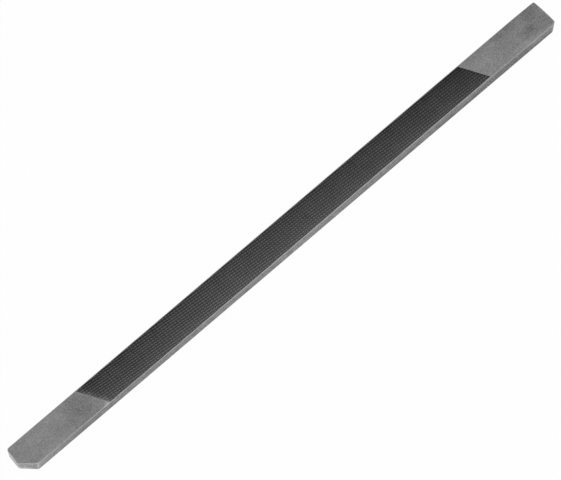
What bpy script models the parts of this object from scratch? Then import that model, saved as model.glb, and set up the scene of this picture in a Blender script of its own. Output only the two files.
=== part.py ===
"""Flat file: one blank of hardened steel with plain ends and double-cut teeth on both wide faces.

Sizes are in metres and +Z is up. The file lies on its lower wide face. X runs along it, from the
skewed end at -X to the square end at +X, and Y runs across it. The origin is under its middle, at
the level that it rests on.
"""

import math

import bmesh
import bpy
from mathutils import Matrix, Vector

COLLECTION = "flat_file"
CUTTERS = "cutters"

# Blank
LENGTH = 0.2000
WIDTH = 0.0092
THICKNESS = 0.0035

# Skewed end, at -X: a small corner, an edge that runs out to the point, and a wide chamfer
SMALL_CORNER = 0.0005
SKEW_RUN = 0.00064
SKEW_UNDERCUT = 0.00045
CHAMFER_ALONG = 0.0039
CHAMFER_ACROSS = 0.00435

# Square end, at +X: a slight crown and one clipped corner
CROWN = 0.00014
CROWN_STEPS = 8
CLIP_ALONG = 0.00096
CLIP_ACROSS = 0.00070

# Broken edges, ground after the outline
EDGE_BREAK = 0.00028
CORNER_BREAK = 0.00055
END_UNDER_BREAK = 0.00060
BREAK_STEPS = 3

# Cut zone, the same on both wide faces, between the plain lengths of the two ends
SKEWED_PLAIN = 0.0290
SQUARE_PLAIN = 0.0268
CUT_SLANT = math.radians(26.2)
LAND = 0.00012

# Teeth: two sets of furrows cross, and a tooth stands in each cell between them
LONG_FURROW_ANGLE = math.radians(6.5)
LONG_FURROW_PITCH = 0.00097
CROSS_FURROW_ANGLE = math.radians(82.0)
CROSS_FURROW_PITCH = 0.00127
TOOTH_DEPTH = 0.00026
CREST_DROP = 0.00004
LEAN = 0.16
RUN_OUT_RISE = 0.00090

# Greys of the steel
BLANK_GREY = (0.205, 0.205, 0.203, 1.0)
TOOTH_GREY = (0.070, 0.070, 0.071, 1.0)

HAIR = 1e-6


def clear_scene():
    """Removes whatever the scene holds at the start."""
    for obj in list(bpy.data.objects):
        bpy.data.objects.remove(obj, do_unlink=True)


def new_collection(name):
    """Makes a collection in the scene."""
    made = bpy.data.collections.new(name)
    bpy.context.scene.collection.children.link(made)
    return made


def steel(name, grey, roughness):
    """Makes a plain steel material of one grey."""
    made = bpy.data.materials.new(name)
    made.use_nodes = True
    shader = made.node_tree.nodes["Principled BSDF"]
    shader.inputs["Base Color"].default_value = grey
    shader.inputs["Metallic"].default_value = 0.9
    shader.inputs["Roughness"].default_value = roughness
    made.diffuse_color = grey
    return made


def crown_points():
    """Gives the square end's shallow arc, from its clipped corner to its full corner."""
    low = -WIDTH / 2 + CLIP_ACROSS
    high = WIDTH / 2
    half_chord = (high - low) / 2
    radius = (half_chord**2 + CROWN**2) / (2 * CROWN)
    centre = Vector((LENGTH / 2 - radius, (high + low) / 2))
    sweep = math.asin(half_chord / radius)
    angles = [sweep * (2 * step / CROWN_STEPS - 1) for step in range(CROWN_STEPS + 1)]
    return [centre + radius * Vector((math.cos(a), math.sin(a))) for a in angles]


def outline():
    """Gives the blank's outline, anticlockwise from above."""
    tip = -LENGTH / 2
    side = WIDTH / 2
    skewed_end = [
        Vector((tip + SKEW_RUN + SMALL_CORNER, side)),
        Vector((tip + SKEW_RUN, side - SMALL_CORNER)),
        Vector((tip, -side + CHAMFER_ACROSS)),
        Vector((tip + CHAMFER_ALONG, -side)),
    ]
    crown = crown_points()
    clipped = Vector((crown[0].x - CLIP_ALONG, -side))
    return skewed_end + [clipped] + crown


def plate(name, points, thickness):
    """Makes a closed plate from a filled flat curve, with one face for its top and one for its bottom."""
    curve = bpy.data.curves.new(name + "_outline", "CURVE")
    curve.dimensions = "2D"
    curve.fill_mode = "BOTH"
    curve.extrude = thickness / 2
    spline = curve.splines.new("POLY")
    spline.points.add(len(points) - 1)
    for point, place in zip(spline.points, points):
        point.co = (place.x, place.y, 0, 1)
    spline.use_cyclic_u = True
    guide = bpy.data.objects.new(name + "_outline", curve)
    bpy.context.scene.collection.objects.link(guide)
    bpy.context.view_layer.update()
    graph = bpy.context.evaluated_depsgraph_get()
    mesh = bpy.data.meshes.new_from_object(guide.evaluated_get(graph))
    bpy.data.objects.remove(guide, do_unlink=True)
    sheet = bmesh.new()
    sheet.from_mesh(mesh)
    bmesh.ops.remove_doubles(sheet, verts=sheet.verts, dist=HAIR)
    bmesh.ops.translate(sheet, verts=sheet.verts, vec=(0, 0, thickness / 2))
    bmesh.ops.dissolve_limit(sheet, angle_limit=math.radians(0.1), verts=sheet.verts, edges=sheet.edges)
    bmesh.ops.recalc_face_normals(sheet, faces=sheet.faces)
    sheet.to_mesh(mesh)
    sheet.free()
    mesh.name = name
    return mesh


def undercut_skewed_edge(mesh):
    """Leans the face of the skewed edge inwards, so that its foot stands back from its top."""
    first, second = (point.to_3d() + Vector((0, 0, THICKNESS)) for point in outline()[1:3])
    run = second - first
    lean = Vector((0, 0, SKEW_UNDERCUT / THICKNESS))
    outward = Vector((run.y, -run.x, 0)).normalized() - lean
    sheet = bmesh.new()
    sheet.from_mesh(mesh)
    everything = sheet.verts[:] + sheet.edges[:] + sheet.faces[:]
    bmesh.ops.bisect_plane(
        sheet, geom=everything, dist=HAIR, plane_co=first, plane_no=outward, clear_outer=True
    )
    bmesh.ops.holes_fill(sheet, edges=[edge for edge in sheet.edges if edge.is_boundary])
    bmesh.ops.recalc_face_normals(sheet, faces=sheet.faces)
    sheet.to_mesh(mesh)
    sheet.free()


def edge_break(edge):
    """Gives how far back one edge of the plate is broken."""
    first, second = (vert.co for vert in edge.verts)
    if edge.calc_face_angle(0) < math.radians(5):
        return 0.0
    upright = abs(first.z - second.z) > THICKNESS / 2
    by_chamfer = first.x < -LENGTH / 2 + CHAMFER_ALONG + HAIR and first.y < WIDTH / 2 - 2 * SMALL_CORNER
    if upright and by_chamfer:
        return CORNER_BREAK
    lower_rim = max(first.z, second.z) < HAIR
    along_side = abs(first.y - second.y) < HAIR and abs(abs(first.y) - WIDTH / 2) < HAIR
    small = edge.calc_length() < 2 * SMALL_CORNER
    if lower_rim and not along_side and not small:
        return END_UNDER_BREAK
    return EDGE_BREAK


def break_edges(obj):
    """Breaks every edge of the plate, further back along the lower rim of its ends."""
    sheet = bmesh.new()
    sheet.from_mesh(obj.data)
    weight = sheet.edges.layers.float.new("bevel_weight_edge")
    widest = max(EDGE_BREAK, CORNER_BREAK, END_UNDER_BREAK)
    for edge in sheet.edges:
        edge[weight] = edge_break(edge) / widest
    sheet.to_mesh(obj.data)
    sheet.free()
    bevel = obj.modifiers.new("broken_edges", "BEVEL")
    bevel.limit_method = "WEIGHT"
    bevel.offset_type = "OFFSET"
    bevel.width = widest
    bevel.segments = BREAK_STEPS
    bevel.use_clamp_overlap = True


def lattice():
    """Gives the two steps from one tooth to the next, along a long furrow and along a cross one."""
    long_way = Vector((math.cos(LONG_FURROW_ANGLE), -math.sin(LONG_FURROW_ANGLE)))
    cross_way = Vector((math.cos(CROSS_FURROW_ANGLE), math.sin(CROSS_FURROW_ANGLE)))
    crossing = math.sin(CROSS_FURROW_ANGLE + LONG_FURROW_ANGLE)
    return long_way * (CROSS_FURROW_PITCH / crossing), cross_way * (LONG_FURROW_PITCH / crossing)


def cut_span():
    """Gives where the cut zone starts and ends along the middle of the file."""
    return -LENGTH / 2 + SKEWED_PLAIN, LENGTH / 2 - SQUARE_PLAIN


def cut_sides():
    """Gives the four upright planes that bound the cut zone, as a point and an outward direction."""
    start, end = cut_span()
    reach = WIDTH / 2 - EDGE_BREAK - LAND
    along = Vector((math.cos(CUT_SLANT), math.sin(CUT_SLANT), 0))
    return [
        (Vector((start, 0, 0)), -along),
        (Vector((end, 0, 0)), along),
        (Vector((0, reach, 0)), Vector((0, 1, 0))),
        (Vector((0, -reach, 0)), Vector((0, -1, 0))),
    ]


def beyond_zone(place):
    """Gives how far a place lies outside the cut zone, below zero inside it."""
    return max((place - point).dot(outward) for point, outward in cut_sides())


def tooth_sheet():
    """Makes the open sheet of teeth: a grid sheared into the lattice, with each cell raised to a crest."""
    long_step, cross_step = lattice()
    start, end = cut_span()
    drift = (end - start) * math.tan(LONG_FURROW_ANGLE)
    columns = math.ceil((end - start + WIDTH) / long_step.length) + 4
    rows = math.ceil((WIDTH + drift) / cross_step.length) + 4
    sheet = bmesh.new()
    bmesh.ops.create_grid(sheet, x_segments=columns, y_segments=rows, size=0.5)
    shear = Matrix.Identity(4)
    for axis in range(2):
        shear[axis][0] = long_step[axis] * columns
        shear[axis][1] = cross_step[axis] * rows
    middle = Matrix.Translation(((start + end) / 2, 0, 0))
    bmesh.ops.transform(sheet, matrix=middle @ shear, verts=sheet.verts)
    margin = long_step.length + cross_step.length
    outside = [face for face in sheet.faces if beyond_zone(face.calc_center_median()) > margin]
    bmesh.ops.delete(sheet, geom=outside, context="FACES")
    crests = bmesh.ops.poke(sheet, faces=sheet.faces)["verts"]
    lean = (long_step + cross_step) * LEAN
    bmesh.ops.translate(sheet, verts=crests, vec=(lean.x, lean.y, TOOTH_DEPTH))
    bmesh.ops.translate(sheet, verts=sheet.verts, vec=(0, 0, -CREST_DROP - TOOTH_DEPTH))
    for vert in sheet.verts:
        if beyond_zone(Vector((vert.co.x, vert.co.y, 0))) > 0:
            vert.co.z = RUN_OUT_RISE
    return sheet


def tooth_cutter():
    """Makes the closed cutter whose underside is the teeth, rising clear of the face round the cut zone."""
    sheet = tooth_sheet()
    rim = [edge for edge in sheet.edges if edge.is_boundary]
    raised = bmesh.ops.extrude_edge_only(sheet, edges=rim)["geom"]
    for vert in (item for item in raised if isinstance(item, bmesh.types.BMVert)):
        vert.co.z = 2 * RUN_OUT_RISE
    bmesh.ops.holes_fill(sheet, edges=[edge for edge in sheet.edges if edge.is_boundary])
    bmesh.ops.recalc_face_normals(sheet, faces=sheet.faces)
    mesh = bpy.data.meshes.new("tooth_cutter")
    sheet.to_mesh(mesh)
    sheet.free()
    return mesh


def cut_teeth(obj, mesh, cutters):
    """Cuts the teeth into the upper face, and into the lower one with the file turned over."""
    for name, level, turn in (("upper_teeth", THICKNESS, 0.0), ("lower_teeth", 0.0, math.pi)):
        cutter = bpy.data.objects.new(name, mesh)
        cutter.location = (0, 0, level)
        cutter.rotation_euler = (turn, 0, 0)
        cutter.hide_render = True
        cutter.display_type = "WIRE"
        cutters.objects.link(cutter)
        cut = obj.modifiers.new(name, "BOOLEAN")
        cut.operation = "DIFFERENCE"
        cut.solver = "EXACT"
        cut.material_mode = "TRANSFER"
        cut.object = cutter


def build():
    """Makes the file."""
    clear_scene()
    parts = new_collection(COLLECTION)
    cutters = new_collection(CUTTERS)
    mesh = plate("file_body", outline(), THICKNESS)
    undercut_skewed_edge(mesh)
    mesh.materials.append(steel("ground_steel", BLANK_GREY, 0.42))
    body = bpy.data.objects.new("file_body", mesh)
    parts.objects.link(body)
    break_edges(body)
    teeth = tooth_cutter()
    teeth.materials.append(steel("tooth_steel", TOOTH_GREY, 0.55))
    cut_teeth(body, teeth, cutters)


if __name__ == "__main__":
    build()
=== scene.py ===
"""Looks of the flat file: a ground blank with broken edges and crossed teeth, on a pale floor.

Lengths are in metres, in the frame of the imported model: X along the file towards its square end,
Y across it and Z up, with the floor at zero.
"""

import logging
import math
from contextlib import contextmanager
from dataclasses import dataclass
from enum import Enum
from typing import Iterator, Sequence, Union

import bpy
from mathutils import Matrix, Vector


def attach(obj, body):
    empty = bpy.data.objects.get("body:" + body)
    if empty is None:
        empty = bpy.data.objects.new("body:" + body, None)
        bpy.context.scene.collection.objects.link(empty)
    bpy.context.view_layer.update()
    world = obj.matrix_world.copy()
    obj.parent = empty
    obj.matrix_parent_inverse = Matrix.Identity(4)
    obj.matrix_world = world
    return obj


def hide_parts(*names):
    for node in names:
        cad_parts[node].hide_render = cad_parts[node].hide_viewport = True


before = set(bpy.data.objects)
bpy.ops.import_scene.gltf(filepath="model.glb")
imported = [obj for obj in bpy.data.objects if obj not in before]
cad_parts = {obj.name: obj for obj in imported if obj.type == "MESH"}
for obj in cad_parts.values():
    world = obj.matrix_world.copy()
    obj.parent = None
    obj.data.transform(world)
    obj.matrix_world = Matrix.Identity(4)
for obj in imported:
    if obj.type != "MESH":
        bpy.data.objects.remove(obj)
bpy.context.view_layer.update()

BODY = "root"
NODE = "file_body"
SEEN_RAYS = ("Is Camera Ray", "Is Glossy Ray", "Is Transmission Ray")

# A length too short to matter, in metres, and a height that is under everything.
HAIR = 1e-7
UNDER_ALL = -1.0
# What a length is multiplied by to make a switch of its sign.
SWITCH = 1e5
# The mean of a noise, and the shade that leaves a tone as it is.
NEUTRAL = 0.5
# The sockets of a colour mix, whose names are not unique.
MIX_SHARE, MIX_DARK, MIX_LIGHT, MIX_RESULT = 0, 6, 7, 2

log = logging.getLogger("flat_file")

Stops = tuple[tuple[float, float], ...]


class Face(Enum):
    """The two wide faces that carry teeth."""

    UPPER = "upper"
    LOWER = "lower"


class Layer(Enum):
    """The material slots of the finished file, in order."""

    FACES = 0
    TEETH = 1
    EDGES = 2
    SIDES = 3


def deselect() -> None:
    """Deselects every object."""
    if bpy.context.mode != "OBJECT":
        bpy.ops.object.mode_set(mode="OBJECT")
    bpy.ops.object.select_all(action="DESELECT")


def make_active(piece: bpy.types.Object) -> None:
    """Selects one object alone and makes it the active one.

    Args:
        piece: the object to work on.
    """
    deselect()
    piece.select_set(True)
    bpy.context.view_layer.objects.active = piece


@contextmanager
def editing(piece: bpy.types.Object) -> Iterator[None]:
    """Opens a piece in edit mode with nothing selected, and leaves edit mode at the end.

    Args:
        piece: the mesh object to edit.

    Yields:
        Nothing, while the piece is open.
    """
    make_active(piece)
    bpy.ops.object.mode_set(mode="EDIT")
    bpy.ops.mesh.select_all(action="DESELECT")
    yield
    bpy.ops.object.mode_set(mode="OBJECT")


def apply_modifier(piece: bpy.types.Object, modifier: bpy.types.Modifier) -> None:
    """Applies one modifier.

    Args:
        piece: the object that carries the modifier.
        modifier: the modifier to apply.
    """
    make_active(piece)
    bpy.ops.object.modifier_apply(modifier=modifier.name)


def apply_place(piece: bpy.types.Object) -> None:
    """Moves a piece's place, turn and scale into its mesh.

    Args:
        piece: the object whose transform is applied.
    """
    make_active(piece)
    bpy.ops.object.transform_apply(location=True, rotation=True, scale=True)


@dataclass(frozen=True)
class Plane:
    """A cutting plane: a point on it, and the way out of what is kept."""

    point: Vector
    outward: Vector


def trim(piece: bpy.types.Object, planes: Sequence[Plane], fill: bool) -> None:
    """Cuts away what lies outside each plane.

    Args:
        piece: the mesh object to cut.
        planes: the planes, each with its outward side.
        fill: whether the cuts are closed with a face.
    """
    with editing(piece):
        for plane in planes:
            bpy.ops.mesh.select_all(action="SELECT")
            bpy.ops.mesh.bisect(
                plane_co=plane.point,
                plane_no=plane.outward,
                use_fill=fill,
                clear_outer=True,
                threshold=HAIR,
            )


class Sock:
    """A node socket that takes part in Python arithmetic, each operation adding a Math node."""

    def __init__(self, tree: bpy.types.NodeTree, socket: bpy.types.NodeSocket) -> None:
        """Wraps a socket.

        Args:
            tree: the node tree that the socket belongs to.
            socket: the output socket.
        """
        self.tree = tree
        self.socket = socket

    def _math(self, operation: str, first: "Operand", second: "Operand" = 0.0) -> "Sock":
        """Adds a Math node.

        Args:
            operation: the node's operation.
            first: the first value or socket.
            second: the second value or socket.

        Returns:
            The node's result.
        """
        node = self.tree.nodes.new("ShaderNodeMath")
        node.operation = operation
        for socket, value in zip(node.inputs, (first, second)):
            if isinstance(value, Sock):
                self.tree.links.new(value.socket, socket)
            else:
                socket.default_value = value
        return Sock(self.tree, node.outputs[0])

    def __add__(self, other: "Operand") -> "Sock":
        """Adds two values."""
        return self._math("ADD", self, other)

    def __radd__(self, other: "Operand") -> "Sock":
        """Adds two values, with the number first."""
        return self._math("ADD", other, self)

    def __sub__(self, other: "Operand") -> "Sock":
        """Takes a value from this one."""
        return self._math("SUBTRACT", self, other)

    def __rsub__(self, other: "Operand") -> "Sock":
        """Takes this value from a number."""
        return self._math("SUBTRACT", other, self)

    def __mul__(self, other: "Operand") -> "Sock":
        """Multiplies two values."""
        return self._math("MULTIPLY", self, other)

    def __rmul__(self, other: "Operand") -> "Sock":
        """Multiplies two values, with the number first."""
        return self._math("MULTIPLY", other, self)

    def __truediv__(self, other: "Operand") -> "Sock":
        """Divides this value by another."""
        return self._math("DIVIDE", self, other)

    def magnitude(self) -> "Sock":
        """Gives the value without its sign."""
        return self._math("ABSOLUTE", self)

    def clamped(self) -> "Sock":
        """Holds the value between 0 and 1.

        Returns:
            The held value.
        """
        held = self._math("ADD", self, 0.0)
        held.socket.node.use_clamp = True
        return held


Operand = Union[Sock, float]


@dataclass(frozen=True)
class Patch:
    """A soft oval patch of a surface that is lighter or darker than the rest.

    A half height of zero makes it reach through every height.
    """

    x: float
    y: float
    half_length: float
    half_width: float
    shade: float
    z: float = 0.0
    half_height: float = 0.0


@dataclass(frozen=True)
class Noise:
    """A noise: its patches' size, how many finer layers it has, and its stretch along X."""

    size: float
    detail: float
    stretch: float = 1.0
    roughness: float = 0.55


class Nodes:
    """A node tree under construction, with one way to add its nodes."""

    def __init__(self, tree: bpy.types.NodeTree) -> None:
        """Takes up a tree.

        Args:
            tree: the node tree.
        """
        self.tree = tree

    def node(
        self, kind: str, settings: dict[str, object] | None = None, **sockets: object
    ) -> bpy.types.Node:
        """Adds a node.

        Args:
            kind: the node's type.
            settings: its properties, set first.
            **sockets: values or links for its inputs, with spaces in a name written as underscores.

        Returns:
            The new node.
        """
        made = self.tree.nodes.new(kind)
        for key, value in (settings or {}).items():
            if key == "stops":
                self._set_stops(made, value)
            else:
                setattr(made, key, value)
        for key, value in sockets.items():
            self.feed(made.inputs[key.replace("_", " ")], value)
        return made

    def _set_stops(self, ramp: bpy.types.Node, stops: Stops) -> None:
        """Sets a colour ramp's stops.

        Args:
            ramp: the ramp node.
            stops: pairs of a position and a grey.
        """
        ramp.color_ramp.interpolation = "EASE"
        elements = ramp.color_ramp.elements
        while len(elements) < len(stops):
            elements.new(1.0)
        for element, (position, grey) in zip(elements, stops):
            element.position = position
            element.color = (grey, grey, grey, 1.0)

    def feed(self, socket: bpy.types.NodeSocket, value: object) -> None:
        """Sets an input to a value or links it to a socket.

        Args:
            socket: the input.
            value: a number, a tuple, a wrapped socket or an output socket.
        """
        if isinstance(value, Sock):
            self.tree.links.new(value.socket, socket)
        elif isinstance(value, bpy.types.NodeSocket):
            self.tree.links.new(value, socket)
        else:
            socket.default_value = value

    def seen(self) -> Sock:
        """Tells whether a surface is seen: by the camera, in a mirror or through glass.

        Returns:
            One where it is seen, and zero where it only lights something.
        """
        rays = self.node("ShaderNodeLightPath").outputs
        camera, mirror, glass = (Sock(self.tree, rays[name]) for name in SEEN_RAYS)
        return (camera + mirror + glass).clamped()


class Paint(Nodes):
    """A material under construction."""

    def __init__(self, name: str) -> None:
        """Starts a material with only its shader and its output.

        Args:
            name: the material's name.
        """
        self.material = bpy.data.materials.new(name)
        self.material.use_nodes = True
        super().__init__(self.material.node_tree)
        self.shader = self.tree.nodes["Principled BSDF"]
        self.output = self.tree.nodes["Material Output"]

    def dress(self, **sockets: object) -> None:
        """Feeds the shader.

        Args:
            **sockets: values or links for its inputs, named as for a new node.
        """
        for key, value in sockets.items():
            self.feed(self.shader.inputs[key.replace("_", " ")], value)

    def shade(self, value: Sock, reach: float, stops: Stops) -> Sock:
        """Gives a shade that changes smoothly between stops.

        Args:
            value: what the stops stand on, such as a place along the file.
            reach: how far the stops reach to either side of zero.
            stops: pairs of a value and a shade between 0 and 1.

        Returns:
            The shade.
        """
        span = 2 * reach
        placed = tuple(((place + reach) / span, grey) for place, grey in stops)
        ramp = self.node("ShaderNodeValToRGB", {"stops": placed}, Fac=(value + reach) / span)
        return Sock(self.tree, self.node("ShaderNodeRGBToBW", Color=ramp.outputs[0]).outputs[0])

    def place(self) -> bpy.types.NodeSocket:
        """Gives the object coordinates."""
        return self.node("ShaderNodeTexCoord").outputs["Object"]

    def axis(self, name: str) -> Sock:
        """Gives one object coordinate.

        Args:
            name: X, Y or Z.

        Returns:
            The coordinate, in metres.
        """
        split = self.node("ShaderNodeSeparateXYZ", Vector=self.place())
        return Sock(self.tree, split.outputs[name])

    def noise(self, layer: Noise) -> Sock:
        """Gives a layer of noise, with a mean of about zero.

        Args:
            layer: its sizes.

        Returns:
            The noise value.
        """
        scale = (1.0 / (layer.size * layer.stretch), 1.0 / layer.size, 1.0 / layer.size)
        mapping = self.node("ShaderNodeMapping", Vector=self.place(), Scale=scale)
        noise = self.node(
            "ShaderNodeTexNoise", Vector=mapping.outputs[0], Scale=1.0, Detail=layer.detail,
            Roughness=layer.roughness,
        )
        return Sock(self.tree, noise.outputs[0]) - NEUTRAL

    def grey(self, value: Sock, dark: float, light: float) -> bpy.types.NodeSocket:
        """Turns a value between 0 and 1 into a grey.

        Args:
            value: the value.
            dark: the grey at 0.
            light: the grey at 1.

        Returns:
            A colour socket.
        """
        mix = self.node("ShaderNodeMix", {"data_type": "RGBA"})
        self.feed(mix.inputs[MIX_SHARE], value)
        self.feed(mix.inputs[MIX_DARK], (dark, dark, dark, 1.0))
        self.feed(mix.inputs[MIX_LIGHT], (light, light, light, 1.0))
        return mix.outputs[MIX_RESULT]

    def patches(self, patches: Sequence[Patch], lowest: float) -> Sock:
        """Gives the sum of some soft patches.

        Args:
            patches: the patches.
            lowest: the height below which they fade out.

        Returns:
            The shade to add.
        """
        x, y, z = (self.axis(name) for name in "XYZ")
        total: Operand = 0.0
        for patch in patches:
            along = (x - patch.x) / patch.half_length
            across = (y - patch.y) / patch.half_width
            away = along * along + across * across
            if patch.half_height:
                upwards = (z - patch.z) / patch.half_height
                away = away + upwards * upwards
            total = total + (1.0 - away).clamped() * patch.shade
        return total * ((z - lowest) * SWITCH).clamped()

    def bump(self, height: Sock, distance: float, strength: float) -> bpy.types.NodeSocket:
        """Makes a bumped normal.

        Args:
            height: the height, between 0 and 1.
            distance: the height of 1, in metres.
            strength: how much of it is used.

        Returns:
            The normal.
        """
        made = self.node("ShaderNodeBump", Strength=strength, Distance=distance, Height=height)
        return made.outputs["Normal"]


@dataclass(frozen=True)
class GroundSteel:
    """Hardened steel, ground and then dulled: cloudy, finely grainy, with faint streaks.

    `along` gives its tone by the place along the file, its rise how much lighter its top is painted
    than its foot, as painted shade on the foot, and `rough_line` the height of a side's coarser
    part, as a share of the thickness.
    """

    name: str
    thickness: float
    reach: float
    along: Stops
    patches: tuple[Patch, ...]
    lowest_patch: float
    rough_line: Stops = ()
    rough_shade: float = -0.16
    rough_grain: float = 0.9
    rough_blur: float = 0.0006
    painted_shade_rise: float = 0.0
    dark: float = 0.090
    light: float = 0.330
    metallic: float = 0.90
    roughness: float = 0.40
    patch_roughness: float = 0.12
    grain_roughness: float = 0.20
    cloud: Noise = Noise(0.0060, 3.0)
    patch: Noise = Noise(0.0014, 3.0)
    grain: Noise = Noise(0.00040, 2.0)
    streak: Noise = Noise(0.00040, 2.0, stretch=14.0)
    cloud_share: float = 0.25
    patch_share: float = 0.30
    grain_share: float = 1.08
    streak_share: float = 0.10
    grain_relief: float = 0.7
    streak_relief: float = 0.3
    relief_height: float = 0.000012
    relief_strength: float = 0.5

    def build(self) -> bpy.types.Material:
        """Makes the material.

        Returns:
            The material.
        """
        paint = Paint(self.name)
        cloud = paint.noise(self.cloud)
        patch = paint.noise(self.patch)
        grain = paint.noise(self.grain)
        streak = paint.noise(self.streak)
        tone = (
            paint.shade(paint.axis("X"), self.reach, self.along)
            # Soft lighter and darker patches; on the sides these are the painted light of the
            # skewed end.
            + paint.patches(self.patches, self.lowest_patch)
            + self._rough_part(paint, grain)
            # Painted shade: lighter towards the top, darker towards the foot.
            + (paint.axis("Z") / self.thickness - NEUTRAL) * self.painted_shade_rise
            + cloud * self.cloud_share
            + patch * self.patch_share
            + grain * self.grain_share
            + streak * self.streak_share
        )
        relief = NEUTRAL + self.grain_relief * grain + self.streak_relief * streak
        paint.dress(
            Base_Color=paint.grey(tone.clamped(), self.dark, self.light),
            Metallic=self.metallic,
            Roughness=self.roughness + patch * self.patch_roughness + grain * self.grain_roughness,
            Normal=paint.bump(relief, self.relief_height, self.relief_strength),
        )
        return paint.material

    def _rough_part(self, paint: Paint, grain: Sock) -> Operand:
        """Gives a side's darker, coarser part, below a line that climbs towards the square end.

        Args:
            paint: the material under construction.
            grain: the fine noise of the surface, with a mean of zero.

        Returns:
            The shade to add.
        """
        if not self.rough_line:
            return 0.0
        line = paint.shade(paint.axis("X"), self.reach, self.rough_line) * self.thickness
        below = ((line - paint.axis("Z")) / self.rough_blur + NEUTRAL).clamped()
        return below * (self.rough_shade + grain * self.rough_grain)


@dataclass(frozen=True)
class ToothSteel:
    """Cut steel, painted dark as the painted shade of the toothed face: darkest in the furrows and
    lighter on the crests.

    `along` gives its tone by the place along the file and `across` a painted light that lightens
    the face towards its near side, the depth shade how much the crests stand out over the painted
    shade in the furrows, and the run-in is the lighter start of the furrows at the skewed end.
    """

    thickness: float
    depth: float
    reach: float
    start: float
    slant: float
    name: str = "tooth_steel"
    # The greys of the teeth, painted dark as painted shade: darkest for the furrows.
    painted_furrow_shade: float = 0.020
    crest: float = 0.200
    half_across: float = 0.005
    # Painted light: the teeth are painted lighter towards the near side of the face.
    across: Stops = (
        (-0.0050, 0.72), (-0.0035, 0.70), (-0.0030, 0.61), (0.0, 0.50), (0.0050, 0.38),
    )
    # Painted shade in the furrows against lighter crests, strongest at the skewed end.
    painted_depth_shade: Stops = ((-0.075, 1.0), (-0.02, 0.88), (0.03, 0.60), (0.05, 0.57), (0.075, 0.34))
    along: Stops = (
        (-0.075, 0.475), (-0.02, 0.56), (0.0, 0.54), (0.02, 0.49), (0.04, 0.48), (0.075, 0.36),
    )
    level: float = 0.32
    painted_depth_share: float = 0.32
    mean_height: float = 0.45
    run_in: float = 0.0015
    run_in_share: float = 0.72
    run_in_base: float = 0.7
    run_in_spread: float = 2.0
    tooth: Noise = Noise(0.0009, 1.0)
    cloud: Noise = Noise(0.0070, 2.0)
    tooth_share: float = 0.20
    cloud_share: float = 0.15
    metallic: float = 0.85
    roughness: float = 0.42
    furrow_roughness: float = 0.18

    def build(self) -> bpy.types.Material:
        """Makes the material.

        Returns:
            The material.
        """
        paint = Paint(self.name)
        half = self.thickness / 2
        below = half - (paint.axis("Z") - half).magnitude()
        height = (1.0 - below / self.depth).clamped()
        tooth = paint.noise(self.tooth)
        cloud = paint.noise(self.cloud)
        shade = (
            paint.shade(paint.axis("X"), self.reach, self.along)
            # Painted light across the face, lighter towards its near side.
            + paint.shade(paint.axis("Y"), self.half_across, self.across)
            - 2 * NEUTRAL
        )
        # Painted shade: the furrows darker and the crests lighter, by depth.
        painted_depth_shade = paint.shade(paint.axis("X"), self.reach, self.painted_depth_shade) * self.painted_depth_share
        tone = (
            self.level
            + shade
            + (height - self.mean_height) * painted_depth_shade
            + self._run_in(paint) * (self.run_in_base + self.run_in_spread * tooth)
            + tooth * self.tooth_share
            + cloud * self.cloud_share
        )
        paint.dress(
            Base_Color=paint.grey(tone.clamped(), self.painted_furrow_shade, self.crest),
            Metallic=self.metallic,
            Roughness=self.roughness + self.furrow_roughness * (1.0 - height),
        )
        return paint.material

    def _run_in(self, paint: Paint) -> Sock:
        """Gives the lighter run-in of the furrows, inside the border at the skewed end.

        Args:
            paint: the material under construction.

        Returns:
            The shade to add.
        """
        upper = ((paint.axis("Z") - self.thickness / 2) * SWITCH).clamped()
        across = paint.axis("Y") * (upper * 2.0 - 1.0) * math.sin(self.slant)
        inside = (paint.axis("X") - self.start) * math.cos(self.slant) + across
        return (1.0 - inside / self.run_in).clamped() * self.run_in_share


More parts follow.
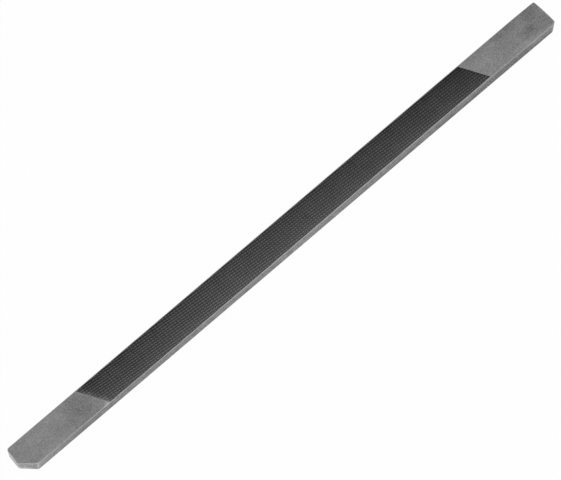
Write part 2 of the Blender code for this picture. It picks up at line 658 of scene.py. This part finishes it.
@dataclass(frozen=True)
class EdgeSteel:
    """Bare steel along the broken edges, painted brighter than the faces beside it: partly rubbed
    steel and partly a painted highlight where the edges catch the light.

    `along` gives the tone of the upper edges' painted highlight by the place along the file, and
    `foot` the painted light and shade of the lower ones.
    """

    reach: float
    patches: tuple[Patch, ...]
    name: str = "edge_steel_painted_highlight"
    dark: float = 0.18
    light: float = 0.66
    along: Stops = (
        (-0.1, 0.32), (-0.0955, 0.28), (-0.0920, 0.20), (-0.080, 0.25), (-0.065, 0.31),
        (-0.030, 0.32), (0.0, 0.38), (0.020, 0.37), (0.075, 0.33), (0.1, 0.25),
    )
    # Painted light and shade on the lower edges, lightest at the skewed end where they stand for
    # the pale floor's reflection.
    foot: Stops = (
        (-0.1, 0.82), (-0.0955, 0.80), (-0.0915, 0.22), (-0.080, 0.08), (-0.030, 0.08),
        (-0.005, 0.25), (0.020, 0.36), (0.040, 0.60), (0.062, 0.60), (0.078, 0.12), (0.1, 0.10),
    )
    foot_height: float = 0.0010
    # Painted shade on the upper edges of the far side.
    far_painted_shade: float = -0.14
    wear: Noise = Noise(0.0012, 4.0, stretch=2.0)
    wear_share: float = 0.60
    metallic: float = 0.95
    roughness: float = 0.34
    wear_roughness: float = 0.15

    def build(self) -> bpy.types.Material:
        """Makes the material.

        Returns:
            The material.
        """
        paint = Paint(self.name)
        wear = paint.noise(self.wear)
        x, y, z = (paint.axis(name) for name in "XYZ")
        foot = (1.0 - z / self.foot_height).clamped()
        # The tone is painted light: the edges' painted highlight, painted light at the skewed end
        # and on the rims, painted light and shade on the lower edges and painted shade on the far
        # side.
        tone = (
            paint.shade(x, self.reach, self.along)
            + paint.patches(self.patches, UNDER_ALL)
            + wear * self.wear_share
            + foot * (paint.shade(x, self.reach, self.foot) - NEUTRAL)
            + (y * SWITCH).clamped() * (1.0 - foot) * self.far_painted_shade
        )
        paint.dress(
            Base_Color=paint.grey(tone.clamped(), self.dark, self.light),
            Metallic=self.metallic,
            Roughness=self.roughness + self.wear_roughness * wear,
        )
        return paint.material


@dataclass(frozen=True)
class EdgeStep:
    """The near side's upper edge at one place along the file.

    `rounding` is the share that is left of the usual rounding, and `back` says how far the edge
    stands back from the side's foot.
    """

    x: float
    rounding: float
    back: float


@dataclass
class Blank:
    """The bar that the file is made from: its outline and its broken edges.

    The skewed end has a small corner at its far side and a wide chamfer at its near one. The square
    end is crowned, with a clip at its near side and a slight taper at its far one. An undercut says
    how far a side's foot stands back from its top, and the twist how much further the chamfer's top
    stands back at the near side. A break is the width that is taken off an edge, and an edge within
    `nearby` times a corner's size belongs to that corner.
    """

    length: float = 0.2000
    width: float = 0.0092
    thickness: float = 0.0035
    small_corner: float = 0.0006
    skew_run: float = 0.00078
    chamfer_along: float = 0.00366
    chamfer_across: float = 0.00392
    crown_radius: float = 0.075
    crown_middle: float = 0.0020
    crown_cuts: int = 12
    clip_along: float = 0.00096
    clip_across: float = 0.00070
    taper_along: float = 0.0085
    taper_across: float = 0.00015
    edge_break: float = 0.00028
    tip_break: float = 0.00015
    end_under_break: float = 0.00060
    corner_break: float = 0.00055
    near_corner_break: float = 0.00032
    far_corner_break: float = 0.00060
    break_steps: int = 5
    corner_undercut: float = 0.00055
    skew_undercut: float = 0.00042
    chamfer_undercut: float = 0.00024
    chamfer_twist: float = 0.00038
    clip_undercut: float = 0.00025
    nearby: float = 2.0
    upright_normal: float = 0.5
    near_edge: tuple[EdgeStep, ...] = (
        EdgeStep(-0.0940, 1.00, 0.0), EdgeStep(-0.0900, 0.70, 0.0), EdgeStep(-0.0100, 0.70, 0.0),
        EdgeStep(0.0250, 0.60, 0.00012), EdgeStep(0.0580, 0.50, 0.00026),
        EdgeStep(0.0760, 0.45, 0.00027), EdgeStep(0.0950, 0.50, 0.00010),
        EdgeStep(0.0980, 1.00, 0.0),
    )

    @property
    def low(self) -> Vector:
        """Gives the bar's lowest corner."""
        return Vector((-self.length / 2, -self.width / 2, 0))

    @property
    def high(self) -> Vector:
        """Gives the bar's highest corner."""
        return Vector((self.length / 2, self.width / 2, self.thickness))

    @property
    def crown_low(self) -> float:
        """Gives how far across the crown of the square end starts."""
        return self.low.y + self.clip_across

    def _edge_plane(self, start: Vector, end: Vector, undercut: float = 0.0) -> Plane:
        """Gives the plane of one side, through two points of the outline, taken anticlockwise.

        Args:
            start: the first point.
            end: the second point.
            undercut: how far the foot of the side stands back from its top.

        Returns:
            The plane, with its outward side.
        """
        run = end - start
        lean = Vector((0, 0, -undercut / self.thickness))
        point = Vector((start.x, start.y, self.high.z))
        return Plane(point, (Vector((run.y, -run.x, 0)).normalized() + lean).normalized())

    def near_edge_at(self, x: float) -> tuple[float, float]:
        """Gives the shape of the near side's upper edge at a place along the file.

        Args:
            x: the place along the file.

        Returns:
            The share of the usual rounding, and how far the edge stands back.
        """
        for first, second in zip(self.near_edge, self.near_edge[1:]):
            if first.x <= x <= second.x:
                way = (x - first.x) / (second.x - first.x)
                rounding = first.rounding + (second.rounding - first.rounding) * way
                return rounding, first.back + (second.back - first.back) * way
        return 1.0, 0.0

    def end_planes(self) -> list[Plane]:
        """Gives the planes that cut the bar's two ends.

        Returns:
            The planes, in order round the outline.
        """
        tip, far, low, high = self.low.x, self.high.x, self.low.y, self.high.y
        skewed = [
            Vector((tip + self.skew_run + self.small_corner, high, 0)),
            Vector((tip + self.skew_run, high - self.small_corner, 0)),
            Vector((tip, low + self.chamfer_across, 0)),
            Vector((tip + self.chamfer_along, low, 0)),
        ]
        leans = (self.corner_undercut, self.skew_undercut, self.chamfer_undercut)
        planes = [self._edge_plane(a, b, lean) for a, b, lean in zip(skewed, skewed[1:], leans)]
        centre = Vector((far - self.crown_radius, self.crown_middle, 0))
        start, end = (math.asin((y - centre.y) / self.crown_radius) for y in (self.crown_low, high))
        for cut in range(self.crown_cuts):
            angle = start + (end - start) * (cut + 0.5) / self.crown_cuts
            outward = Vector((math.cos(angle), math.sin(angle), 0))
            planes.append(Plane(centre + outward * self.crown_radius, outward))
        square = far - self._crown_drop(self.crown_low)
        clip_start = Vector((square - self.clip_along, low, 0))
        clip_end = Vector((square, self.crown_low, 0))
        planes.append(self._edge_plane(clip_start, clip_end, self.clip_undercut))
        taper_start = Vector((far, high - self.taper_across, 0))
        planes.append(self._edge_plane(taper_start, Vector((far - self.taper_along, high, 0))))
        return planes

    def _crown_drop(self, y: float) -> float:
        """Gives how far the crowned end stands back at a place across."""
        return (y - self.crown_middle) ** 2 / (2 * self.crown_radius)

    def _break_of(self, first: Vector, second: Vector) -> float:
        """Gives how far back an edge of the bar is broken.

        Args:
            first: one end of the edge.
            second: its other end.

        Returns:
            The width of the break, or zero where facets only follow a crown or a taper.
        """
        upright = abs(first.z - second.z) > self.thickness / 2
        by_chamfer = first.x < self.low.x + self.chamfer_along + HAIR
        if upright and by_chamfer and first.y < self.high.y - self.nearby * self.small_corner:
            at_side = min(first.y, second.y) < self.low.y + HAIR
            return self.near_corner_break if at_side else self.corner_break
        drop = self.nearby * self._crown_drop(self.crown_low)
        on_crown = min(first.x, second.x) > self.high.x - drop
        if upright and on_crown and first.y > self.crown_low + HAIR:
            at_taper = first.y > self.high.y - self.nearby * self.taper_across
            return self.far_corner_break if at_taper else 0.0
        if upright and first.y > self.high.y - HAIR and first.x > 0:
            return 0.0
        upper_rim = min(first.z, second.z) > self.high.z - HAIR
        if upper_rim and by_chamfer and second.x < self.low.x + self.chamfer_along + HAIR:
            return self.tip_break
        lower_rim = max(first.z, second.z) < self.low.z + HAIR
        along_side = abs(first.y - second.y) < HAIR
        short = (first - second).length < self.nearby * self.small_corner
        if lower_rim and not along_side and (on_crown or not short):
            return self.end_under_break
        return self.edge_break

    def build(self, name: str, finishes: Sequence[bpy.types.Material]) -> bpy.types.Object:
        """Cuts the bar to its outline and breaks its edges.

        Args:
            name: the name of the new object.
            finishes: its materials, in the order of the layers.

        Returns:
            The finished blank.
        """
        deselect()
        bpy.ops.mesh.primitive_cube_add(size=1.0, location=(self.low + self.high) / 2)
        bar = bpy.context.object
        bar.name = name
        for material in finishes:
            bar.data.materials.append(material)
        bar.scale = self.high - self.low
        apply_place(bar)
        trim(bar, self.end_planes(), fill=True)
        self._break_edges(bar)
        self._shape_near_edge(bar)
        self._twist_chamfer(bar)
        self._mark_layers(bar)
        return bar

    def _in_near_rounding(self, place: Vector) -> bool:
        """Tells whether a place lies in the rounding of the near side's upper edge."""
        within = self.edge_break + HAIR
        return place.y < self.low.y + within and place.z > self.high.z - within

    def _shape_near_edge(self, bar: bpy.types.Object) -> None:
        """Varies the near side's upper edge along the file: how far it is rounded and stands back.

        Args:
            bar: the bar with its edges broken.
        """
        within = self.low.y + self.edge_break + HAIR
        for step in self.near_edge:
            make_active(bar)
            for face in bar.data.polygons:
                face.select = all(bar.data.vertices[index].co.y < within for index in face.vertices)
            bpy.ops.object.mode_set(mode="EDIT")
            bpy.ops.mesh.bisect(plane_co=(step.x, 0, 0), plane_no=(1, 0, 0), threshold=HAIR)
            bpy.ops.object.mode_set(mode="OBJECT")
        first, last = self.near_edge[0].x, self.near_edge[-1].x
        for vertex in bar.data.vertices:
            if first < vertex.co.x < last and self._in_near_rounding(vertex.co):
                rounding, back = self.near_edge_at(vertex.co.x)
                corner = Vector((vertex.co.x, self.low.y, self.high.z))
                vertex.co = corner + (vertex.co - corner) * rounding + Vector((0, back, 0))
        for vertex in bar.data.vertices:
            vertex.co.y = max(self.low.y, min(self.high.y, vertex.co.y))

    def _twist_chamfer(self, bar: bpy.types.Object) -> None:
        """Moves the chamfer's top back, more and more towards the near side.

        Args:
            bar: the bar with its edges broken.
        """
        reach = self.low.x + self.chamfer_along + self.nearby * self.near_corner_break
        for vertex in bar.data.vertices:
            if vertex.co.x < reach:
                share = (self.low.y + self.chamfer_across - vertex.co.y) / self.chamfer_across
                vertex.co.x += max(0.0, share) * self.chamfer_twist * vertex.co.z / self.thickness

    def _mark_layers(self, bar: bpy.types.Object) -> None:
        """Gives the upright sides their own finish.

        Args:
            bar: the bar with its edges broken.
        """
        for face in bar.data.polygons:
            upright = abs(face.normal.z) < self.upright_normal
            if upright and face.material_index == Layer.FACES.value:
                face.material_index = Layer.SIDES.value

    def _break_edges(self, bar: bpy.types.Object) -> None:
        """Breaks the edges of the bar, each by its own width.

        Args:
            bar: the trimmed bar.
        """
        mesh = bar.data
        widest = max(
            self.edge_break, self.tip_break, self.end_under_break,
            self.corner_break, self.near_corner_break, self.far_corner_break,
        )
        weights = mesh.attributes.new("bevel_weight_edge", "FLOAT", "EDGE")
        for edge in mesh.edges:
            ends = [mesh.vertices[index].co for index in edge.vertices]
            weights.data[edge.index].value = self._break_of(*ends) / widest
        bevel = bar.modifiers.new("broken_edges", "BEVEL")
        bevel.limit_method = "WEIGHT"
        bevel.offset_type = "OFFSET"
        bevel.width = widest
        bevel.segments = self.break_steps
        bevel.use_clamp_overlap = True
        # The broken edges take the edge finish, with its painted highlight.
        bevel.material = Layer.EDGES.value
        apply_modifier(bar, bevel)


@dataclass
class CrossedTeeth:
    """The teeth of one wide face: long furrows and cross furrows, with a tooth in each cell.

    Lands are the smooth strips beside the cut, and the near one widens from `wide_start` on. The
    drift, fans and bow bend the rows, each per metre of the place along or across.
    """

    blank: Blank
    skewed_plain: float = 0.0288
    square_plain: float = 0.0270
    slant: float = math.radians(26.2)
    land: float = 0.00003
    near_land: float = 0.00015
    wide_start: float = -0.010
    wide_slope: float = 0.0040
    long_angle: float = math.radians(5.6)
    long_pitch: float = 0.00077
    cross_angle: float = math.radians(82.7)
    cross_pitch: float = 0.00098
    depth: float = 0.00030
    crest_drop: float = 0.00002
    notch: float = 0.65
    columns: tuple[float, ...] = (-0.5, -0.22, 0.30, 0.5)
    rows: tuple[float, ...] = (-0.5, -0.40, -0.08, 0.10, 0.40, 0.5)
    crest_rows: tuple[int, int] = (2, 3)
    feed_drift: float = 0.29
    cross_fan: float = 0.49
    row_bow: float = 0.29
    row_fan: float = 0.43
    clearance: float = 0.0010
    spare_cells: int = 4
    merge_gap: float = 1e-6

    def steps(self) -> tuple[Vector, Vector]:
        """Gives the steps from one tooth to the next, along a long furrow and along a cross one.

        Returns:
            The two steps.
        """
        long_way = Vector((math.cos(self.long_angle), -math.sin(self.long_angle), 0))
        cross_way = Vector((math.cos(self.cross_angle), math.sin(self.cross_angle), 0))
        crossing = math.sin(self.cross_angle + self.long_angle)
        return long_way * (self.cross_pitch / crossing), cross_way * (self.long_pitch / crossing)

    def span(self) -> tuple[float, float]:
        """Gives where the cut starts and ends along the middle of the file."""
        return self.blank.low.x + self.skewed_plain, self.blank.high.x - self.square_plain

    def sides(self) -> list[Plane]:
        """Gives the upright planes that bound the cut.

        Returns:
            The planes.
        """
        start, end = self.span()
        reach = self.blank.width / 2 - self.blank.edge_break - self.land
        along = Vector((math.cos(self.slant), math.sin(self.slant), 0))
        return [
            Plane(Vector((start, 0, 0)), -along),
            Plane(Vector((end, 0, 0)), along),
            Plane(Vector((0, reach, 0)), Vector((0, 1, 0))),
            self._near_side(0.0),
            self._near_side(self.wide_slope),
        ]

    def _near_side(self, slope: float) -> Plane:
        """Gives one of the planes that keep the cut off the near side's rounded edge.

        Args:
            slope: how fast the border moves inwards along the file.

        Returns:
            The plane.
        """
        point = Vector((self.wide_start, self.blank.low.y + self.near_land, 0))
        return Plane(point, Vector((slope, -1, 0)).normalized())

    def _one_tooth(self) -> bpy.types.Object:
        """Models one cell: a ridge between two furrow floors, notched where the cross furrows pass.

        Returns:
            The cell, one unit square with its heights in metres.
        """
        deselect()
        across, along = len(self.columns) - 1, len(self.rows) - 1
        bpy.ops.mesh.primitive_grid_add(x_subdivisions=across, y_subdivisions=along, size=1.0)
        tooth = bpy.context.object
        for vertex in tooth.data.vertices:
            column = round((vertex.co.x + 0.5) * across)
            row = round((vertex.co.y + 0.5) * along)
            at_notch = column in (0, across)
            height = self.depth * (1 - self.notch * at_notch) if row in self.crest_rows else 0.0
            vertex.co = (self.columns[column], self.rows[row], height)
        return tooth

    def _bow(self, sheet: bpy.types.Object) -> None:
        """Bends and fans the rows slightly along the file, as the feed of the cut drifted.

        Args:
            sheet: the sheet of teeth.
        """
        for vertex in sheet.data.vertices:
            x, y = vertex.co.x, vertex.co.y
            vertex.co.x = x - self.feed_drift * x * x - self.cross_fan * x * y
            vertex.co.y = y + self.row_bow * x * x + self.row_fan * x * y

    def _sheet(self) -> bpy.types.Object:
        """Repeats the tooth over the lattice and trims the sheet to the cut.

        Returns:
            The open sheet, with its crests just under zero.
        """
        tooth = self._one_tooth()
        long_step, cross_step = self.steps()
        start, end = self.span()
        drift = (end - start) * math.tan(self.long_angle)
        width = self.blank.width
        columns = math.ceil((end - start + width) / long_step.length) + self.spare_cells
        rows = math.ceil((width + drift) / cross_step.length) + self.spare_cells
        middle = Vector(((start + end) / 2, 0, 0))
        corner = middle - long_step * (columns / 2) - cross_step * (rows / 2)
        shear = Matrix.Identity(4)
        for axis in range(2):
            shear[axis][0] = long_step[axis]
            shear[axis][1] = cross_step[axis]
        drop = Vector((0, 0, -self.crest_drop - self.depth))
        tooth.data.transform(Matrix.Translation(corner + drop) @ shear)
        for name, step, count in (("along", long_step, columns), ("across", cross_step, rows)):
            array = tooth.modifiers.new(name, "ARRAY")
            array.use_relative_offset = False
            array.use_constant_offset = True
            array.constant_offset_displace = step
            array.count = count
            array.use_merge_vertices = True
            array.merge_threshold = self.merge_gap
            apply_modifier(tooth, array)
        self._bow(tooth)
        trim(tooth, self.sides(), fill=False)
        return tooth

    def build(self, name: str, face: Face) -> bpy.types.Object:
        """Makes the closed cutter whose underside is the teeth of one face.

        Args:
            name: the name of the new object.
            face: the wide face that it cuts.

        Returns:
            The cutter, in place.
        """
        cutter = self._sheet()
        cutter.name = name
        lid = Vector((0, 0, self.clearance))
        with editing(cutter):
            bpy.ops.mesh.select_mode(type="EDGE")
            bpy.ops.mesh.select_non_manifold(
                extend=False, use_wire=False, use_boundary=True, use_multi_face=False,
                use_non_contiguous=False, use_verts=False,
            )
            bpy.ops.mesh.extrude_edges_move(TRANSFORM_OT_translate={"value": lid})
            bpy.ops.transform.resize(value=(1, 1, 0), center_override=lid)
            bpy.ops.mesh.edge_face_add()
            bpy.ops.mesh.select_all(action="SELECT")
            bpy.ops.mesh.normals_make_consistent(inside=False)
            bpy.ops.mesh.select_mode(type="VERT")
        if face is Face.UPPER:
            cutter.location.z = self.blank.high.z
        else:
            cutter.rotation_euler.x = math.pi
        apply_place(cutter)
        return cutter


@dataclass
class FlatFile:
    """The whole file: the blank with its teeth cut and its finishes on."""

    blank: Blank
    teeth: CrossedTeeth
    smooth_angle: float = math.radians(35)
    face_shade: Stops = (
        (-0.1, 0.50), (-0.086, 0.46), (-0.075, 0.42), (0.075, 0.43), (0.088, 0.41), (0.1, 0.34),
    )
    # Tone along the sides, with painted light: much lighter on the end facets at the skewed end.
    painted_side_shade: Stops = (
        (-0.1, 0.68), (-0.0965, 0.60), (-0.0935, 0.48), (-0.0865, 0.32), (-0.078, 0.22),
        (-0.068, 0.26), (-0.030, 0.28), (0.0, 0.31), (0.05, 0.245), (0.085, 0.28), (0.1, 0.26),
    )
    rough_line: Stops = (
        (0.045, 0.0), (0.061, 0.34), (0.075, 0.76), (0.0885, 0.90), (0.0935, 0.35), (0.1, 0.25),
    )
    face_patches: tuple[Patch, ...] = (
        # The first patch, a lighter spot where the cut starts at the near side, is partly a painted
        # highlight and partly rubbed steel.
        Patch(-0.0699, -0.0042, 0.0011, 0.0008, 0.48),
        Patch(-0.0765, -0.0005, 0.0060, 0.0060, -0.12),
        Patch(-0.0830, 0.0025, 0.0060, 0.0030, 0.07),
        Patch(-0.0910, 0.0025, 0.0055, 0.0030, 0.08),
        Patch(-0.0880, -0.0038, 0.0070, 0.0014, 0.08),
        Patch(-0.0955, -0.0015, 0.0040, 0.0028, -0.02),
        Patch(0.0780, 0.0010, 0.0070, 0.0045, 0.04),
        Patch(0.0775, 0.0040, 0.0060, 0.0018, -0.08),
        Patch(0.0880, 0.0040, 0.0060, 0.0022, -0.14),
        Patch(0.0960, 0.0026, 0.0030, 0.0024, -0.16),
        Patch(0.0925, -0.0015, 0.0040, 0.0024, -0.16),
        Patch(0.0890, -0.0036, 0.0070, 0.0014, 0.16),
        Patch(0.0960, -0.0043, 0.0045, 0.0008, 0.16),
    )
    # Painted light on the skewed end: its skewed side painted as if lit by a lamp, and the foot of
    # its chamfer as a painted reflection of the pale floor.
    painted_tip_light: tuple[Patch, ...] = (
        Patch(-0.0998, 0.0022, 0.0018, 0.0032, 0.55),
        Patch(-0.0986, -0.0022, 0.0030, 0.0044, 0.56, z=0.0006, half_height=0.0010),
    )
    # Painted highlights on the near side's upper edge: at the chamfer's corner, and a lighter spot
    # where the cut starts that is partly painted highlight and partly rubbed steel.
    rim_highlights_and_wear: tuple[Patch, ...] = (
        Patch(-0.0961, -0.0046, 0.0010, 0.0010, 0.25),
        Patch(-0.0702, -0.0045, 0.0014, 0.0009, 0.20),
    )

    def build(self) -> bpy.types.Object:
        """Models the file and dresses it.

        Returns:
            The finished file.
        """
        body = self.blank.build("file_with_teeth", self._finishes())
        for face in Face:
            self._cut(body, face)
        make_active(body)
        bpy.ops.object.shade_smooth_by_angle(angle=self.smooth_angle)
        log.info("%s: %d faces", body.name, len(body.data.polygons))
        return body

    def _finishes(self) -> list[bpy.types.Material]:
        """Makes the finishes, in the order of the slots.

        Returns:
            The materials.
        """
        half, thickness = self.blank.length / 2, self.blank.thickness
        finishes = {
            Layer.FACES: GroundSteel(
                "ground_face", thickness, half, self.face_shade, self.face_patches,
                lowest_patch=thickness / 2,
            ),
            Layer.TEETH: ToothSteel(
                thickness, self.teeth.depth, half, self.teeth.span()[0], self.teeth.slant
            ),
            Layer.EDGES: EdgeSteel(half, self.painted_tip_light + self.rim_highlights_and_wear),
            # The sides' finish carries painted light: a lighter grey for the lit end facets,
            # painted shade at the foot and the painted light of the skewed end.
            Layer.SIDES: GroundSteel(
                "ground_side_painted_light", thickness, half, self.painted_side_shade, self.painted_tip_light,
                lowest_patch=UNDER_ALL, rough_line=self.rough_line, painted_shade_rise=0.28, light=0.45,
                patch_share=0.6, grain_share=1.3, streak_share=0.6,
            ),
        }
        return [finishes[layer].build() for layer in Layer]

    def _cut(self, body: bpy.types.Object, face: Face) -> None:
        """Cuts the teeth of one face into the blank.

        Args:
            body: the blank.
            face: the face to cut.
        """
        cutter = self.teeth.build(face.value + "_teeth_cutter", face)
        cutter.data.materials.append(body.data.materials[Layer.TEETH.value])
        cut = body.modifiers.new(face.value + "_teeth", "BOOLEAN")
        cut.operation = "DIFFERENCE"
        cut.solver = "EXACT"
        cut.material_mode = "TRANSFER"
        cut.object = cutter
        apply_modifier(body, cut)
        log.info("%s teeth cut, %d cutter faces", face.value, len(cutter.data.polygons))
        bpy.data.objects.remove(cutter, do_unlink=True)


@dataclass(frozen=True)
class Panel:
    """A square lamp: where it hangs, its side, and its power in watts."""

    name: str
    place: tuple[float, float, float]
    size: float
    power: float


@dataclass(frozen=True)
class Studio:
    """A pale floor under soft, even light.

    The floor lies a little under the file, because two faces at one height flicker. It glows nearly
    white where it is seen, and lights the file as a plain pale floor. The sky, too, is seen as
    white and lights the file less.
    """

    floor_half: float = 3.0
    floor_drop: float = 0.00002
    floor_grey: float = 0.92
    floor_roughness: float = 0.9
    floor_glow: float = 0.97
    sky: float = 0.62
    panels: tuple[Panel, ...] = (
        Panel("front_panel", (0.36, -0.88, 0.40), 0.9, 1.2),
        Panel("left_panel", (-0.75, -0.60, 0.55), 0.6, 1.6),
        Panel("overhead_panel", (0.35, 0.10, 1.1), 1.2, 1.0),
    )

    def build(self) -> None:
        """Makes the floor, the sky and the lamps."""
        self._floor()
        self._sky()
        for panel in self.panels:
            self._lamp(panel)
        log.info("floor, sky and %d lamps", len(self.panels))

    def _floor(self) -> None:
        """Makes the floor, which shows nearly white and keeps a trace of the file's shadow."""
        deselect()
        place = (0, 0, -self.floor_drop)
        bpy.ops.mesh.primitive_plane_add(size=2 * self.floor_half, location=place)
        floor = bpy.context.object
        floor.name = "floor"
        paint = Paint("pale_floor")
        paint.dress(
            Base_Color=(self.floor_grey,) * 3 + (1.0,),
            Roughness=self.floor_roughness,
            Specular_IOR_Level=0.0,
        )
        share = paint.seen() * self.floor_glow
        white = paint.node("ShaderNodeEmission", Color=(1, 1, 1, 1), Strength=1.0)
        mix = paint.node("ShaderNodeMixShader")
        for socket, value in zip(mix.inputs, (share, paint.shader.outputs[0], white.outputs[0])):
            paint.feed(socket, value)
        paint.feed(paint.output.inputs["Surface"], mix.outputs[0])
        floor.data.materials.append(paint.material)

    def _sky(self) -> None:
        """Makes the even light from all round, which is seen as white."""
        world = bpy.context.scene.world or bpy.data.worlds.new("studio")
        bpy.context.scene.world = world
        world.use_nodes = True
        nodes = Nodes(world.node_tree)
        background = nodes.tree.nodes["Background"]
        nodes.feed(background.inputs["Color"], (1, 1, 1, 1))
        nodes.feed(background.inputs["Strength"], self.sky + nodes.seen() * (1.0 - self.sky))

    def _lamp(self, panel: Panel) -> None:
        """Adds a lamp that faces the file.

        Args:
            panel: the lamp's name, place, size and power.
        """
        data = bpy.data.lights.new(panel.name, "AREA")
        data.size = panel.size
        data.energy = panel.power
        lamp = bpy.data.objects.new(panel.name, data)
        bpy.context.scene.collection.objects.link(lamp)
        lamp.location = panel.place
        lamp.rotation_euler = (-Vector(panel.place)).to_track_quat("-Z", "Y").to_euler()


@dataclass(frozen=True)
class PhotoCamera:
    """A distant camera with a long lens, looking down on the file from its side.

    A view from another side keeps the lens. With one much longer than this, it would stand so far
    off that the part lies beyond what is drawn.
    """

    elevation: float = math.radians(60.3)
    turn: float = math.radians(44.41)
    distance: float = 5.5
    image_width: float = 561.0
    pixels_per_metre: float = 3704.0
    aim_right: float = -0.00043
    aim_up: float = 0.00049
    sensor: float = 36.0

    def build(self) -> None:
        """Adds the camera and makes it the scene's."""
        right = Vector((math.cos(self.turn), -math.sin(self.turn), 0))
        ahead = Vector((math.sin(self.turn), math.cos(self.turn), 0))
        back = Vector((0, 0, math.sin(self.elevation))) - ahead * math.cos(self.elevation)
        up = back.cross(right)
        data = bpy.data.cameras.new("photo_camera")
        data.sensor_width = self.sensor
        data.lens = self.pixels_per_metre * self.distance * self.sensor / self.image_width
        camera = bpy.data.objects.new("photo_camera", data)
        bpy.context.scene.collection.objects.link(camera)
        place = back * self.distance + right * self.aim_right + up * self.aim_up
        turned = Matrix((right, up, back)).transposed().to_4x4()
        camera.matrix_world = Matrix.Translation(place) @ turned
        bpy.context.scene.camera = camera
        log.info("%s: lens of %.0f mm", camera.name, data.lens)


def main() -> None:
    """Builds the camera, the studio and the file."""
    logging.basicConfig(level=logging.INFO, format="%(name)s: %(message)s")
    bpy.context.scene.view_settings.view_transform = "Standard"
    PhotoCamera().build()
    Studio().build()
    blank = Blank()
    body = FlatFile(blank, CrossedTeeth(blank)).build()
    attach(body, BODY)
    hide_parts(NODE)


if __name__ == "__main__":
    main()
